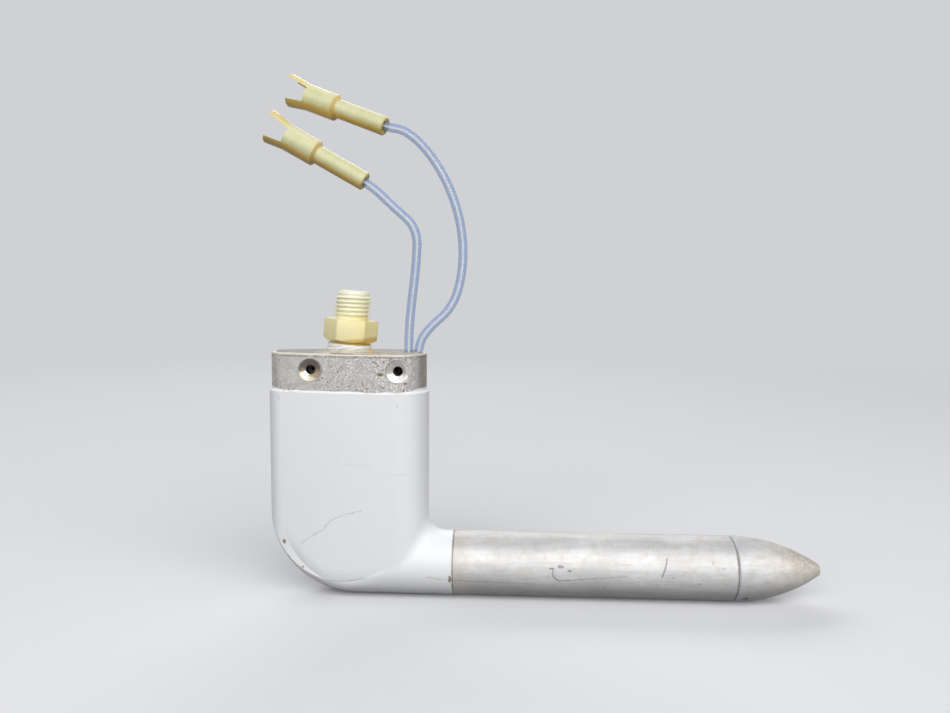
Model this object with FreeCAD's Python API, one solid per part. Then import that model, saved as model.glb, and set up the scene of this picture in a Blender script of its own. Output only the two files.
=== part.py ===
"""Heated pitot tube on an L-shaped cast mast, with its pressure fitting and heater leads.

Millimetres.  The origin is the centre of the collar's top face, +X runs forward along the
probe towards the air inlet, +Y is the side away from the near row of screws, and +Z is up
into the wing.  One STEP file is written for each piece, named after the piece.
"""
import FreeCAD, Part
import math
import os

V = FreeCAD.Vector
X_AXIS = V(1, 0, 0)
Y_AXIS = V(0, 1, 0)
Z_AXIS = V(0, 0, 1)
ORIGIN = V(0, 0, 0)

# ---- Mast: bare collar on top, painted strut and tube socket below ----
collar_chord = 48.4
collar_trailing_radius = 5.4
collar_height = 11.3
collar_top_rounding = 0.5
shoulder_step = 0.75            # how far the strut stands out all round below the collar
shoulder_chamfer = 0.6
probe_drop = 66.3               # collar top to the probe's axis
back_corner_radius = 27.5
inner_corner_radius = 5.5
socket_face_x = 33.0            # where the painted socket ends and the bare probe begins
socket_overhang = 0.12          # radial step from the socket down to the probe
mast_wall = 2.6
rim_wall = 1.4
potting_depth = 2.6
collar_floor = 14.0             # solid depth of the collar above the pocket
pocket_floor_drop = 52.0
passage_radius = 7.2
passage_x = -5.0

# ---- Mounting screws: two tapped, countersunk holes in each side of the collar ----
screw_spacing = 27.1
screw_row_x = 2.75
screw_drop = 5.1
screw_tap_radius = 1.4
countersink_radius = 3.5
countersink_angle = 100.0
screw_depth = 4.5

# ---- Probe tube and nose ----
probe_radius = 9.83
seam_x = 119.6                  # back face of the nose
spigot_radius = 8.25
spigot_length = 24.0
probe_bore_radius = 6.8
seam_groove = 0.35
nose_length = 26.9
tip_radius = 1.7
inlet_radius = 1.2
inlet_length = 9.0
nose_spigot_length = 8.0
chamber_radius = 5.4
baffle_seat_radius = 4.4
baffle_seat_ahead_of_seam = 10.4
drain_radius = 1.25
drain_ahead_of_seam = 2.7
drain_turn = 40.0               # degrees round from straight down, towards -Y
seal_thickness = 0.3
throat_length = 2.5             # straight bore from the baffle's seat to the cone behind the inlet

# ---- Inside the probe ----
baffle_thickness = 1.2
rear_baffle_radius = 6.0
rear_baffle_thickness = 1.5
baffle_port_radius = 1.1
pipe_radius = 2.6
pipe_bore_radius = 1.9
standpipe_length = 4.5
pipe_bend_radius = 10.0
former_radius = 5.6
former_start_x = 24.0
element_wire_radius = 0.5
element_wires = 6
element_front_gap = 4.0
wrap_inner_radius = 6.25
wrap_radius = 6.7
wrap_overhang = 4.0
plug_thickness = 5.0
tail_radius = 0.95
tail_lead_in = 1.5              # start of the tails ahead of the plug
tail_run_out = 4.0              # straight run of the tails behind the plug
tail_pipe_gap = 0.5             # between the tails and the pressure pipe

# ---- Pressure fitting: one nylon moulding, screwed in a little out of true ----
fitting_tilt = 5.0
stub_radius = 6.35
stub_depth = 9.5
neck_radius = 6.25
neck_base = 2.7
hex_base = 3.45
hex_height = 6.75
hex_across_flats = 14.4
hex_corner_radius = 8.25        # corners turned down to this radius
hex_turn = 10.0
relief_radius = 4.85
relief_height = 0.7
thread_radius = 5.55
fitting_top = 19.0
thread_point_radius = 4.45      # the thread's end is turned down to this radius
thread_point_length = 2.0
line_socket_radius = 3.2
line_socket_depth = 8.0
fitting_bore_radius = 2.1
pipe_seat_depth = 5.5
seal_wrap_top_radius = 6.55
seal_wrap_base_radius = 6.85
seal_ridge = 0.18

# ---- Potting, splices and leads ----
potting_crown = 0.35
sealant_bead_radius = 7.7
sealant_bead_height = 1.3
lead_radius = 1.4
splice_radius = 1.65
splice_length = 9.0
splice_drop = 5.0
lead_slot_clearance = 0.1       # round the splices, which go down the slot first
exit_from_edge = 5.5            # collar's leading edge to the inner lead's middle
exit_spacing = 2.5              # between the leads, along the chord
exit_offset = 1.2               # each lead's middle to the chord line
slip = 0.05                     # radial clearance of pieces that slide together
overcut = 4.0                   # how far a cutting shape stands clear of the metal it opens

# ---- Lead terminals: nylon sleeve over a crimped metal receptacle ----
sleeve_radius = 2.85
sleeve_length = 17.4
sleeve_bore_radius = 2.1
lead_entry_radius = 1.5
bell_radius = 3.95
bell_length = 9.9
bell_bore_radius = 3.25
bell_step = 0.8
upper_tongue_length = 7.2
lower_tongue_length = 5.6
tongue_flare = 1.1              # how far the tongues spread over the longer one's length
tongue_thickness = 0.5
tongue_gap_base = 2.2           # half the gap between the tongues where it starts
tongue_gap_tip = 3.6
lead_insertion = 3.5
crimp_length = 7.5
crimp_radius = 1.9
receptacle_start = 17.6
receptacle_length = 7.6
receptacle_half_width = 2.75
receptacle_half_height = 1.15
blade_slot_half_width = 2.3
blade_slot_half_height = 0.45

# Points of the leads' routes, from the splice to the middle of the terminal, measured from
# where each lead leaves the collar's top face.
inner_lead_points = [
    V(0, 0, -5.0),
    V(0, 0, 5.0),
    V(0.9, -0.2, 15.0),
    V(2.4, -0.6, 26.5),
    V(2.9, -0.8, 37.9),
    V(-4.4, -0.4, 44.2),
    V(-11.4, 0, 50.8),
    V(-16.24, 0.2, 53.52),
]
outer_lead_points = [
    V(0, 0, -5.0),
    V(0, 0, 1.6),
    V(3.0, 0.4, 7.2),
    V(11.0, 1.2, 14.1),
    V(14.0, 1.8, 25.5),
    V(13.7, 1.8, 38.0),
    V(10.0, 1.4, 50.4),
    V(3.8, 1.0, 60.9),
    V(-3.5, 0.7, 67.7),
    V(-9.6, 0.6, 68.65),
    V(-13.2, 1.4, 70.1),
]

# ---- Values that follow from the sizes above ----
socket_radius = probe_radius + socket_overhang
strut_thickness = 2 * socket_radius             # the strut is as thick as the socket is round
collar_thickness = strut_thickness - 2 * shoulder_step
strut_chord = collar_chord + 2 * shoulder_step
strut_trailing_radius = collar_trailing_radius + shoulder_step
axis_z = -probe_drop
nose_tip_x = seam_x + nose_length
spigot_x = socket_face_x - spigot_length
tail_start_x = spigot_x + plug_thickness + tail_lead_in
nose_spigot_x = seam_x - nose_spigot_length
baffle_seat_x = seam_x + baffle_seat_ahead_of_seam
fitting_axis = V(math.sin(math.radians(fitting_tilt)), 0, math.cos(math.radians(fitting_tilt)))
inner_exit = V(collar_chord / 2 - exit_from_edge, -exit_offset, 0)
outer_exit = inner_exit.add(V(exit_spacing, 2 * exit_offset, 0))
inner_route = [inner_exit.add(point) for point in inner_lead_points]
outer_route = [outer_exit.add(point) for point in outer_lead_points]


def box(low, high):
    """A box from its lowest to its highest corner."""
    size = high.sub(low)
    return Part.makeBox(size.x, size.y, size.z, low)


def revolved(points, axis_point=ORIGIN, axis=Z_AXIS):
    """A full turn of a closed profile given as (radius, height) pairs about Z, then laid along an axis."""
    corners = [V(r, 0, h) for r, h in points]
    face = Part.Face(Part.makePolygon(corners + corners[:1]))
    solid = face.revolve(ORIGIN, Z_AXIS, 360)
    turn = FreeCAD.Rotation(Z_AXIS, axis)
    solid.Placement = FreeCAD.Placement(axis_point, turn)
    return solid


def tube_between(start, end, radius):
    """A round bar between two points."""
    run = end.sub(start)
    return Part.makeCylinder(radius, run.Length, start, run)


class Section:
    """Streamlined section: half-round leading edge, gently tapering sides and a smaller trailing edge."""

    def __init__(self, chord, thickness, trailing_radius):
        self.half = thickness / 2
        self.trailing_radius = trailing_radius
        self.lead_x = chord / 2 - self.half
        self.trail_x = -chord / 2 + trailing_radius
        span = self.lead_x - self.trail_x
        taper = self.half - trailing_radius
        self.side_radius = (span ** 2 / taper + self.half + trailing_radius) / 2

    def half_thickness(self, x):
        """Half the section's thickness at x, between the two round ends."""
        rise = math.sqrt(self.side_radius ** 2 - (x - self.lead_x) ** 2)
        return self.half - self.side_radius + rise

    def wire(self, z):
        """The closed outline at height z."""
        side_y = self.half - self.side_radius
        away = V(self.trail_x - self.lead_x, -side_y, 0).normalize()
        trail_top = V(self.trail_x, 0, z).add(away.multiply(self.trailing_radius))
        trail_low = V(trail_top.x, -trail_top.y, z)
        lead_top = V(self.lead_x, self.half, z)
        lead_low = V(self.lead_x, -self.half, z)
        middle = (self.lead_x + trail_top.x) / 2
        bulge = self.half_thickness(middle)
        nose = V(self.lead_x + self.half, 0, z)
        tail = V(self.trail_x - self.trailing_radius, 0, z)
        return Part.Wire([
            Part.Arc(lead_low, nose, lead_top).toShape(),
            Part.Arc(lead_top, V(middle, bulge, z), trail_top).toShape(),
            Part.Arc(trail_top, tail, trail_low).toShape(),
            Part.Arc(trail_low, V(middle, -bulge, z), lead_low).toShape(),
        ])

    def prism(self, low_z, high_z):
        """The section as a solid between two heights."""
        return Part.Face(self.wire(low_z)).extrude(V(0, 0, high_z - low_z))


collar_section = Section(collar_chord, collar_thickness, collar_trailing_radius)
strut_section = Section(strut_chord, strut_thickness, strut_trailing_radius)


def rounded_edge_plate():
    """A plate as thick as the socket whose back and bottom edges are half round.

    Its bottom edge is the tube socket's own cylinder, and it turns up the back of the mast
    round the back corner, so that cutting the strut to it rounds the underside and the heel.
    """
    radius = socket_radius
    back_x = -strut_chord / 2 + radius
    bend = back_corner_radius - radius
    top_z = 10.0
    front_x = socket_face_x
    side = Part.Wire([
        Part.LineSegment(V(back_x, 0, top_z), V(back_x, 0, axis_z + bend)).toShape(),
        Part.Arc(
            V(back_x, 0, axis_z + bend),
            V(back_x + bend * (1 - math.sqrt(0.5)), 0, axis_z + bend * (1 - math.sqrt(0.5))),
            V(back_x + bend, 0, axis_z),
        ).toShape(),
        Part.LineSegment(V(back_x + bend, 0, axis_z), V(front_x, 0, axis_z)).toShape(),
    ])
    closing = Part.makePolygon([V(front_x, 0, axis_z), V(front_x, 0, top_z), V(back_x, 0, top_z)])
    face = Part.Face(Part.Wire(side.Edges + closing.Edges))
    plate = face.extrude(V(0, 2 * radius, 0))
    plate.translate(V(0, -radius, 0))
    back_edge = Part.makeCylinder(radius, top_z - axis_z - bend, V(back_x, 0, axis_z + bend))
    bottom_edge = Part.makeCylinder(radius, front_x - back_x - bend, V(back_x + bend, 0, axis_z), X_AXIS)
    heel = elbow(V(back_x + bend, 0, axis_z + bend), bend, radius, V(-1, 0, 0), V(0, 0, -1))
    return plate.multiFuse([back_edge, bottom_edge, heel])


def elbow(centre, bend_radius, radius, start, end):
    """A quarter of a round elbow about the Y line through centre, from one direction to another."""
    ring = Part.Circle(centre.add(V(start).multiply(bend_radius)), start.cross(Y_AXIS), radius)
    face = Part.Face(Part.Wire(ring.toShape()))
    turn = start.cross(end)
    return face.revolve(centre, turn, 90)


def inner_corner():
    """Fillet between the strut's round leading edge and the socket, as a rolling ball leaves it.

    The two are equally thick, so the ball's centre runs along an ellipse that stands on the
    mitre between them.  The fillet fills the wedge from the line where the ball touches the
    strut to the line where it touches the socket.
    """
    reach = socket_radius + inner_corner_radius
    start = V(strut_section.lead_x, 0, axis_z)
    mitre = V(1, 0, 1).normalize()
    square = mitre.cross(Y_AXIS)
    stood = FreeCAD.Placement(start, FreeCAD.Rotation(mitre, Y_AXIS, square, "XYZ"))
    oval = Part.Ellipse(ORIGIN, reach * math.sqrt(2), reach)
    ball_path = Part.Edge(oval, -0.51 * math.pi, 0.51 * math.pi)
    ball_path.Placement = stood
    rolled = swept(Part.Wire(ball_path), inner_corner_radius)
    within = Part.Face(Part.Wire(Part.Edge(oval)))
    within.Placement = stood
    within.translate(square * -reach)
    within = within.extrude(square * 2 * reach)
    wedge = Part.Face(Part.makePolygon([
        start,
        start.add(V(socket_radius, 0, reach)),
        start.add(V(reach, 0, reach)),
        start.add(V(reach, 0, socket_radius)),
        start,
    ])).extrude(V(0, 2 * socket_radius, 0))
    wedge.translate(V(0, -socket_radius, 0))
    return wedge.common(within).cut(rolled)


def mast_outside():
    """The mast before it is bored: collar, strut, tube socket and inner corner."""
    collar = collar_section.prism(-collar_height - shoulder_step, 0)
    top_edges = [edge for edge in collar.Edges if edge.BoundBox.ZMin > -0.01]
    collar = collar.makeFillet(collar_top_rounding, top_edges)
    strut = strut_section.prism(axis_z - 2 * socket_radius, -collar_height)
    shoulder = [edge for edge in strut.Edges if edge.BoundBox.ZMin > -collar_height - 0.01]
    strut = strut.makeChamfer(shoulder_chamfer, shoulder)
    strut = strut.common(rounded_edge_plate())
    lead_x = strut_section.lead_x
    socket = Part.makeCylinder(socket_radius, socket_face_x - lead_x, V(lead_x, 0, axis_z), X_AXIS)
    return strut.multiFuse([socket, inner_corner(), collar]).removeSplitter()


def screw_hole(x, side):
    """Tapped hole with a countersink, square to the chord line; side is -1 or +1 along Y."""
    surface = collar_section.half_thickness(x) if x < collar_section.lead_x else math.sqrt(
        collar_section.half ** 2 - (x - collar_section.lead_x) ** 2)
    cone_depth = (countersink_radius - screw_tap_radius) / math.tan(math.radians(countersink_angle / 2))
    outside = 1.0
    flare = countersink_radius + outside * math.tan(math.radians(countersink_angle / 2))
    profile = [
        (0, outside),
        (flare, outside),
        (screw_tap_radius, -cone_depth),
        (screw_tap_radius, -screw_depth),
        (0, -screw_depth - screw_tap_radius / 2),
    ]
    return revolved(profile, V(x, side * surface, -screw_drop), V(0, side, 0))


def lead_slot(low_z, high_z, shrink=0.0):
    """The upright slot in the collar, round at its ends, that the two leads pass through."""
    radius = splice_radius + lead_slot_clearance - shrink
    apart = outer_exit.sub(inner_exit)
    across = apart.cross(Z_AXIS).normalize() * radius
    near = [inner_exit.add(across), inner_exit.sub(across)]
    ends = []
    for point in (inner_exit, outer_exit):
        ends.append(Part.makeCylinder(radius, high_z - low_z, V(point.x, point.y, low_z)))
    corners = [near[0], near[1], near[1].add(apart), near[0].add(apart), near[0]]
    web = Part.Face(Part.makePolygon([V(c.x, c.y, low_z) for c in corners])).extrude(V(0, 0, high_z - low_z))
    return web.multiFuse(ends)


def pocket():
    """The hollow inside the strut, its way down to the probe, and the socket bore."""
    inner = Section(
        strut_chord - 2 * mast_wall,
        strut_thickness - 2 * mast_wall,
        strut_trailing_radius - mast_wall,
    )
    hollow = inner.prism(-pocket_floor_drop, -collar_floor)
    down = Part.makeCylinder(passage_radius, probe_drop - pocket_floor_drop + 1, V(passage_x, 0, axis_z))
    along = Part.makeCylinder(passage_radius, spigot_x - passage_x + 0.5, V(passage_x, 0, axis_z), X_AXIS)
    heel = Part.makeSphere(passage_radius, V(passage_x, 0, axis_z))
    bore = Part.makeCylinder(spigot_radius + slip, spigot_length, V(spigot_x, 0, axis_z), X_AXIS)
    return hollow.multiFuse([down, along, heel, bore])


def rim_recess(shrink=0.0):
    """The shallow recess in the collar's top face that holds the potting."""
    wall = rim_wall + shrink
    inner = Section(
        collar_chord - 2 * wall,
        collar_thickness - 2 * wall,
        collar_trailing_radius - wall,
    )
    return inner.prism(-potting_depth, overcut)


def mast():
    """The casting: bored for the fitting, the leads, the probe and the mounting screws."""
    body = mast_outside()
    tapping_start = fitting_axis * -(collar_floor + overcut)
    tapping_length = collar_floor + 2 * overcut
    tapping = Part.makeCylinder(stub_radius + slip, tapping_length, tapping_start, fitting_axis)
    cuts = [
        pocket(),
        rim_recess(),
        tapping,
        lead_slot(-collar_floor - 1, 1),
    ]
    for side in (-1, 1):
        for end in (-0.5, 0.5):
            cuts.append(screw_hole(screw_row_x + end * screw_spacing, side))
    return body.cut(cuts)


def probe_tube():
    """Thick-walled tube: the bare length of the probe and the spigot that the mast holds."""
    profile = [
        (probe_bore_radius, spigot_x),
        (spigot_radius, spigot_x),
        (spigot_radius, socket_face_x),
        (probe_radius, socket_face_x),
        (probe_radius, seam_x - seal_thickness - seam_groove),
        (probe_radius - seam_groove, seam_x - seal_thickness),
        (probe_bore_radius, seam_x - seal_thickness),
    ]
    return revolved(profile, V(0, 0, axis_z), X_AXIS)


def nose_arc():
    """Radius and centre of the nose's side, an arc that leaves the tube without a corner."""
    rise = probe_radius - tip_radius
    radius = (nose_length ** 2 + rise ** 2) / (2 * rise)
    return radius, probe_radius - radius


def nose():
    """Ogive nose with the air inlet, the settling chamber, a spigot and the drain hole."""
    arc_radius, centre_r = nose_arc()

    def side(x):
        return centre_r + math.sqrt(arc_radius ** 2 - (x - seam_x) ** 2)

    groove_x = seam_x + seam_groove
    first = V(side(groove_x), 0, groove_x)
    middle = V(side(seam_x + nose_length / 2), 0, seam_x + nose_length / 2)
    last = V(tip_radius, 0, nose_tip_x)
    chamber_end = nose_tip_x - inlet_length
    throat_x = baffle_seat_x + throat_length
    outline = Part.makePolygon([
        last,
        V(inlet_radius + 0.25, 0, nose_tip_x),
        V(inlet_radius, 0, nose_tip_x - 0.25),
        V(inlet_radius, 0, chamber_end),
        V(baffle_seat_radius, 0, throat_x),
        V(baffle_seat_radius, 0, baffle_seat_x),
        V(chamber_radius, 0, baffle_seat_x),
        V(chamber_radius, 0, nose_spigot_x + rear_baffle_thickness),
        V(rear_baffle_radius + slip, 0, nose_spigot_x + rear_baffle_thickness),
        V(rear_baffle_radius + slip, 0, nose_spigot_x),
        V(probe_bore_radius - slip, 0, nose_spigot_x),
        V(probe_bore_radius - slip, 0, seam_x),
        V(probe_radius - seam_groove, 0, seam_x),
        first,
    ])
    wire = Part.Wire([Part.Arc(first, middle, last).toShape()] + outline.Edges)
    solid = Part.Face(wire).revolve(ORIGIN, Z_AXIS, 360)
    solid.Placement = FreeCAD.Placement(V(0, 0, axis_z), FreeCAD.Rotation(Z_AXIS, X_AXIS))
    turn = math.radians(drain_turn)
    outwards = V(0, -math.sin(turn), -math.cos(turn))
    drain_start = V(seam_x + drain_ahead_of_seam, 0, axis_z)
    drain = Part.makeCylinder(drain_radius, probe_radius + overcut, drain_start, outwards)
    return solid.cut(drain)


def nose_seal():
    """The thin ring of sealing compound between the tube's end and the nose's shoulder."""
    profile = [
        (probe_bore_radius, seam_x - seal_thickness),
        (probe_radius - seam_groove, seam_x - seal_thickness),
        (probe_radius - seam_groove, seam_x),
        (probe_bore_radius, seam_x),
    ]
    return revolved(profile, V(0, 0, axis_z), X_AXIS)


def front_baffle():
    """Disc against the step in the nose, with its port off centre so that water is thrown down."""
    start = V(baffle_seat_x - baffle_thickness, 0, axis_z)
    disc = Part.makeCylinder(chamber_radius - slip, baffle_thickness, start, X_AXIS)
    port_z = axis_z + baffle_seat_radius - 2 * baffle_port_radius
    port = Part.makeCylinder(baffle_port_radius, baffle_thickness, V(start.x, 0, port_z), X_AXIS)
    return disc.cut(port)


def rear_baffle():
    """Disc in the back of the nose that carries the pressure pipe's open end."""
    start = V(nose_spigot_x, 0, axis_z)
    disc = Part.makeCylinder(rear_baffle_radius, rear_baffle_thickness, start, X_AXIS)
    return disc.cut(Part.makeCylinder(pipe_radius + slip, rear_baffle_thickness, start, X_AXIS))


def pipe_path():
    """Centre line of the pressure pipe, from the nose chamber back, round and up to the fitting."""
    front = V(nose_spigot_x + rear_baffle_thickness + standpipe_length, 0, axis_z)
    corner = fitting_axis * (axis_z / fitting_axis.z)
    turn = math.radians(90 + fitting_tilt)
    tangent = pipe_bend_radius * math.tan(turn / 2)
    bend_start = corner.add(X_AXIS * tangent)
    bend_end = corner.add(fitting_axis * tangent)
    centre = bend_start.add(Z_AXIS * pipe_bend_radius)
    bisector = corner.sub(centre).normalize()
    middle = centre.add(bisector * pipe_bend_radius)
    top = fitting_axis * -(stub_depth - pipe_seat_depth)
    return Part.Wire([
        Part.LineSegment(front, bend_start).toShape(),
        Part.Arc(bend_start, middle, bend_end).toShape(),
        Part.LineSegment(bend_end, top).toShape(),
    ])


def pressure_pipe():
    """One bent pipe that carries the air's pressure through the heater and up the mast."""
    path = pipe_path()
    return swept(path, pipe_radius).cut(swept(path, pipe_bore_radius))


def swept(path, radius):
    """A round bar along a path of straight runs and tangent arcs."""
    start = path.OrderedEdges[0]
    direction = start.tangentAt(start.FirstParameter)
    ring = Part.Wire(Part.Circle(start.valueAt(start.FirstParameter), direction, radius).toShape())
    return path.makePipeShell([ring], True, True)


def wire_angles():
    """Where the element's wires lie round the former, in degrees from straight up."""
    pitch = 360.0 / element_wires
    return [pitch * (index + 0.5) for index in range(element_wires)]


def wire_place(angle, x, radius=former_radius):
    """A point on the former's circle of wires."""
    turn = math.radians(angle)
    return V(x, radius * math.sin(turn), axis_z + radius * math.cos(turn))


def heater_former():
    """Ceramic tube round the pressure pipe, grooved along its length for the element."""
    length = nose_spigot_x - element_front_gap - former_start_x
    base = V(former_start_x, 0, axis_z)
    body = Part.makeCylinder(former_radius, length, base, X_AXIS)
    cuts = [Part.makeCylinder(pipe_radius + slip, length, base, X_AXIS)]
    for angle in wire_angles():
        start = wire_place(angle, former_start_x)
        cuts.append(Part.makeCylinder(element_wire_radius + slip, length, start, X_AXIS))
    return body.cut(cuts)


def heater_element():
    """Resistance wire led up and down the former, with its two ends brought out at the back."""
    front_x = nose_spigot_x - element_front_gap
    back_x = former_start_x
    angles = wire_angles()
    pieces = []
    for index, angle in enumerate(angles):
        outer_wire = index in (0, element_wires - 1)
        start = wire_place(angle, tail_start_x if outer_wire else back_x)
        pieces.append(tube_between(start, wire_place(angle, front_x), element_wire_radius))
    for index in range(element_wires - 1):
        at_front = index % 2 == 0
        x = front_x if at_front else back_x
        here = wire_place(angles[index], x)
        there = wire_place(angles[index + 1], x)
        centre = here.add(there) * 0.5
        ring = Part.Face(Part.Wire(Part.Circle(here, X_AXIS, element_wire_radius).toShape()))
        outwards = X_AXIS if at_front else X_AXIS * -1
        turn_axis = here.sub(centre).normalize().cross(outwards)
        pieces.append(ring.revolve(centre, turn_axis, 180))
    return pieces[0].multiFuse(pieces[1:])


def heater_wrap():
    """Insulating sleeve between the element and the probe tube."""
    base = V(former_start_x - wrap_overhang, 0, axis_z)
    length = nose_spigot_x - base.x
    outer = Part.makeCylinder(wrap_radius, length, base, X_AXIS)
    return outer.cut(Part.makeCylinder(wrap_inner_radius, length, base, X_AXIS))


def rear_plug():
    """Disc that closes the probe tube's back end round the pipe and the element's tails."""
    base = V(spigot_x, 0, axis_z)
    disc = Part.makeCylinder(probe_bore_radius - slip, plug_thickness, base, X_AXIS)
    cuts = [Part.makeCylinder(pipe_radius + slip, plug_thickness, base, X_AXIS)]
    for angle in (wire_angles()[0], wire_angles()[-1]):
        start = wire_place(angle, spigot_x)
        cuts.append(Part.makeCylinder(tail_radius + slip, plug_thickness, start, X_AXIS))
    return disc.cut(cuts)


def rounded_path(points):
    """Straight runs joined by arcs as large as the runs beside each corner allow."""
    edges = []
    radii = []
    here = points[0]
    for index in range(1, len(points) - 1):
        back = points[index - 1].sub(points[index])
        ahead = points[index + 1].sub(points[index])
        reach = 0.45 * min(back.Length, ahead.Length)
        turn = math.pi - back.getAngle(ahead)
        radii.append(reach / math.tan(turn / 2))
        start = points[index].add(V(back).normalize() * reach)
        end = points[index].add(V(ahead).normalize() * reach)
        inwards = V(back).normalize().add(V(ahead).normalize()).normalize()
        sag = radii[-1] * (1 / math.cos(turn / 2) - 1)
        edges.append(Part.LineSegment(here, start).toShape())
        edges.append(Part.Arc(start, points[index].add(inwards * sag), end).toShape())
        here = end
    edges.append(Part.LineSegment(here, points[-1]).toShape())
    return Part.Wire(edges), radii


def cord(name, points, radius):
    """A round lead along its route; prints its bends and compares its volume with its length."""
    path, radii = rounded_path(points)
    solid = swept(path, radius)
    expected = math.pi * radius ** 2 * path.Length
    print(name, "length", round(path.Length, 2), "radii", [round(r, 1) for r in radii],
          "volume ratio", round(solid.Volume / expected, 5))
    return solid


def tail_route(side, exit_point):
    """Route of one element tail: out through the plug, up beside the pipe and on to its splice."""
    angle = wire_angles()[0] if side > 0 else wire_angles()[-1]
    start = wire_place(angle, tail_start_x)
    beside = side * (pipe_radius + tail_radius + tail_pipe_gap)
    splice_end = -splice_drop - splice_length
    return [
        start,
        V(spigot_x - tail_run_out, start.y, start.z),
        V(passage_x + 4 * tail_radius, beside - side * tail_pipe_gap, start.z + tail_pipe_gap),
        V(passage_x + tail_radius, beside, -pocket_floor_drop - 3 * tail_radius),
        V(passage_x + 2 * tail_radius, beside, -pocket_floor_drop + 2 * tail_run_out),
        V(passage_x + passage_radius + pipe_radius, beside, -collar_floor - 5 * tail_run_out),
        V(exit_point.x - tail_run_out, side * 2 * tail_radius, splice_end - 3 * tail_run_out),
        V(exit_point.x, exit_point.y, splice_end - tail_run_out),
        V(exit_point.x, exit_point.y, splice_end),
    ]


def splice(exit_point):
    """Crimped barrel that joins an element tail to its lead."""
    base = V(exit_point.x, exit_point.y, -splice_drop - splice_length)
    body = Part.makeCylinder(splice_radius, splice_length, base)
    rings = []
    for share in (0.25, 0.75):
        middle = base.add(Z_AXIS * splice_length * share)
        rings.append(revolved([
            (splice_radius - 0.25, -0.5),
            (splice_radius + 1, -1.2),
            (splice_radius + 1, 1.2),
            (splice_radius - 0.25, 0.5),
        ], middle))
    return body.cut(rings)


def seal_wrap_profile(grow=0.0):
    """Outline of the tape on the fitting's stub, ridged where the turns lie over one another."""
    turns = 3
    dip = (seal_wrap_base_radius + seal_ridge) * math.sin(math.radians(fitting_tilt))
    step = (neck_base + potting_depth - dip - 0.2) / turns
    bottom = neck_base - turns * step
    points = [(stub_radius, bottom), (seal_wrap_base_radius + grow, bottom)]
    for index in range(turns):
        low = neck_base - (turns - index) * step
        share = (index + 1) / turns
        radius = seal_wrap_base_radius + (seal_wrap_top_radius - seal_wrap_base_radius) * share + grow
        points.append((radius + seal_ridge, low + 0.25 * step))
        points.append((radius + seal_ridge, low + 0.7 * step))
        points.append((radius, low + step))
    points.append((stub_radius, neck_base))
    return points


def thread_seal():
    """White tape wound on the fitting's taper thread."""
    return revolved(seal_wrap_profile(), ORIGIN, fitting_axis)


def fitting():
    """Nylon pressure fitting: plain stub in the mast, hexagon, and threaded end for the line."""
    hex_top = hex_base + hex_height
    outside = revolved([
        (0, -stub_depth),
        (stub_radius - 0.5, -stub_depth),
        (stub_radius, -stub_depth + 1.0),
        (stub_radius, neck_base),
        (neck_radius, neck_base),
        (neck_radius, hex_base + 0.5),
        (relief_radius, hex_base + 0.5),
        (relief_radius, hex_top + relief_height),
        (thread_radius, hex_top + relief_height + thread_radius - relief_radius),
        (thread_radius, fitting_top - thread_point_length),
        (thread_point_radius, fitting_top),
        (0, fitting_top),
    ])
    corner = hex_across_flats / 2 / math.cos(math.radians(30))
    corners = []
    for index in range(7):
        angle = math.radians(hex_turn + 60 * index)
        corners.append(V(corner * math.cos(angle), corner * math.sin(angle), hex_base))
    hexagon = Part.Face(Part.makePolygon(corners)).extrude(Z_AXIS * hex_height)
    flat = hex_across_flats / 2
    drop = (hex_corner_radius - flat) * math.tan(math.radians(30))
    turned = revolved([
        (0, hex_base),
        (flat, hex_base),
        (hex_corner_radius, hex_base + drop),
        (hex_corner_radius, hex_top),
        (0, hex_top),
    ])
    body = outside.fuse(hexagon.common(turned))
    bore = revolved([
        (0, -stub_depth - 1),
        (pipe_radius + slip, -stub_depth - 1),
        (pipe_radius + slip, -stub_depth + pipe_seat_depth),
        (fitting_bore_radius, -stub_depth + pipe_seat_depth),
        (fitting_bore_radius, fitting_top - line_socket_depth),
        (line_socket_radius, fitting_top - line_socket_depth),
        (line_socket_radius, fitting_top - 0.6),
        (line_socket_radius + 0.8, fitting_top + 0.2),
        (0, fitting_top + 0.2),
    ])
    body = body.cut(bore).removeSplitter()
    body.Placement = FreeCAD.Placement(ORIGIN, FreeCAD.Rotation(Z_AXIS, fitting_axis))
    return body


def potting():
    """Sealing compound that fills the collar's recess, with a bead round the fitting's stub."""
    fill = rim_recess(slip).common(box(
        V(-collar_chord, -collar_chord, -potting_depth), V(collar_chord, collar_chord, potting_crown)))
    crown_edges = [edge for edge in fill.Edges if edge.BoundBox.ZMin > potting_crown - 0.01]
    fill = fill.makeChamfer(potting_crown * 0.9, crown_edges)
    bead = revolved([
        (0, 0),
        (sealant_bead_radius, 0.1),
        (sealant_bead_radius, potting_crown),
        (stub_radius, potting_crown + sealant_bead_height),
        (0, potting_crown + sealant_bead_height),
    ])
    slot_fill = lead_slot(-splice_drop - splice_length + 2.0, -potting_depth, slip)
    body = fill.multiFuse([bead, slot_fill])
    stub = revolved(seal_wrap_profile(slip) + [(0, neck_base)] + [(0, -potting_depth - 2)]
                    + [(stub_radius + slip, -potting_depth - 2)], ORIGIN, fitting_axis)
    cuts = [stub]
    for exit_point in (inner_exit, outer_exit):
        low = V(exit_point.x, exit_point.y, -splice_drop - splice_length)
        cuts.append(Part.makeCylinder(splice_radius + slip, splice_length, low))
    for route in (inner_route, outer_route):
        cuts.append(swept(rounded_path(route)[0], lead_radius + slip))
    return body.cut(cuts)


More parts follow.
